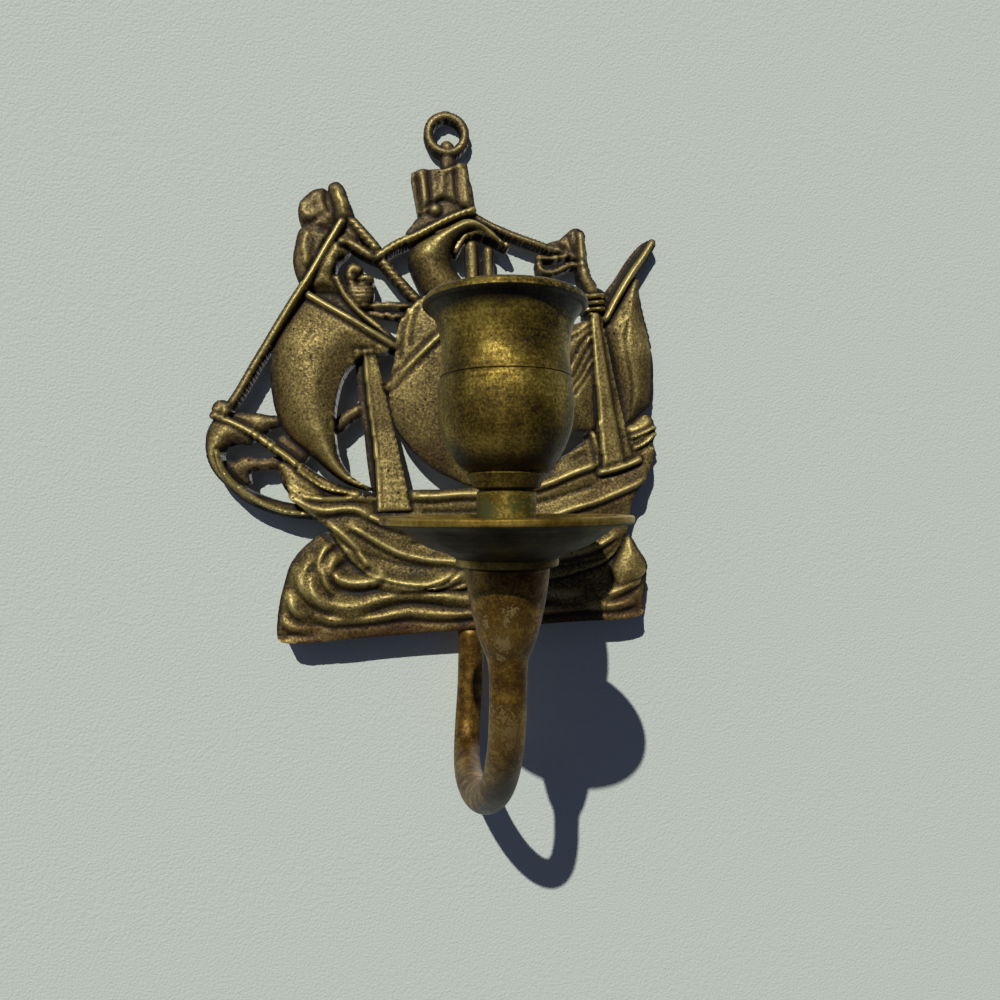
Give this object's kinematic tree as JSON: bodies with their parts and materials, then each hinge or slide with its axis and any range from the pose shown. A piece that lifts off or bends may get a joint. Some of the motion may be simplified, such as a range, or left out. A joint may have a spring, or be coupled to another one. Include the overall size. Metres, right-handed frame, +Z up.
{
  "type": "wall plaque candle holder",
  "caption": "Cast brass wall plaque of a sailing ship on curling waves, hung by a ring, with a swan-neck arm that carries a drip pan and a candle cup.",
  "frame": {"origin": "middle of the flat back of the short neck that carries the hanging ring, on the wall", "axes": "+Z up, +Y into the wall, -Y out into the room, +X to the right as seen from the room"},
  "size_m": [0.1489, 0.1108, 0.2126],
  "materials": {
    "plaque_brass": "aged cast brass with dark patina in the hollows",
    "arm_brass": "worn lacquered brass with brown blotches",
    "pan_brass": "dull turned brass",
    "cup_brass": "turned brass with fine lines and a tarnished neck"
  },
  "bodies": {
    "root": {"ship_plaque": "plaque_brass", "arm": "arm_brass", "drip_pan": "pan_brass", "candle_cup": "cup_brass"}
  },
  "joints": []
}
